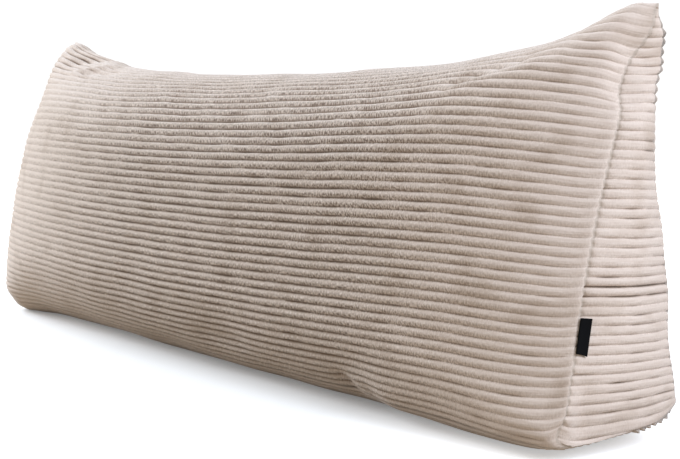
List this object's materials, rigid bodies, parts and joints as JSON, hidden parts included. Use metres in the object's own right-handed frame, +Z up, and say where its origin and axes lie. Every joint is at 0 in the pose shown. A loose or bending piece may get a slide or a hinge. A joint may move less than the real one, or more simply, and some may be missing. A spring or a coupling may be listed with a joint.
{
  "type": "wedge pillow",
  "caption": "Long soft backrest wedge in wide-ribbed cord cloth: upright filled cushion with a sagging rounded crest, pinched ears, sewn end panels and a bare folded tab in one end seam.",
  "frame": {"origin": "middle of the bounding box, on the floor", "axes": "+X along the length towards the end with the tab, +Y from the front panel to the back panel, +Z up"},
  "size_m": [1.4158, 0.2868, 0.4952],
  "materials": {
    "cord_cloth": "wide-ribbed cut-pile cord, warm greige, matt with a soft nap",
    "tab_ribbon": "black woven ribbon, folded, bare"
  },
  "bodies": {
    "root": {"cushion": "cord_cloth", "side_tab": "tab_ribbon"}
  },
  "joints": []
}
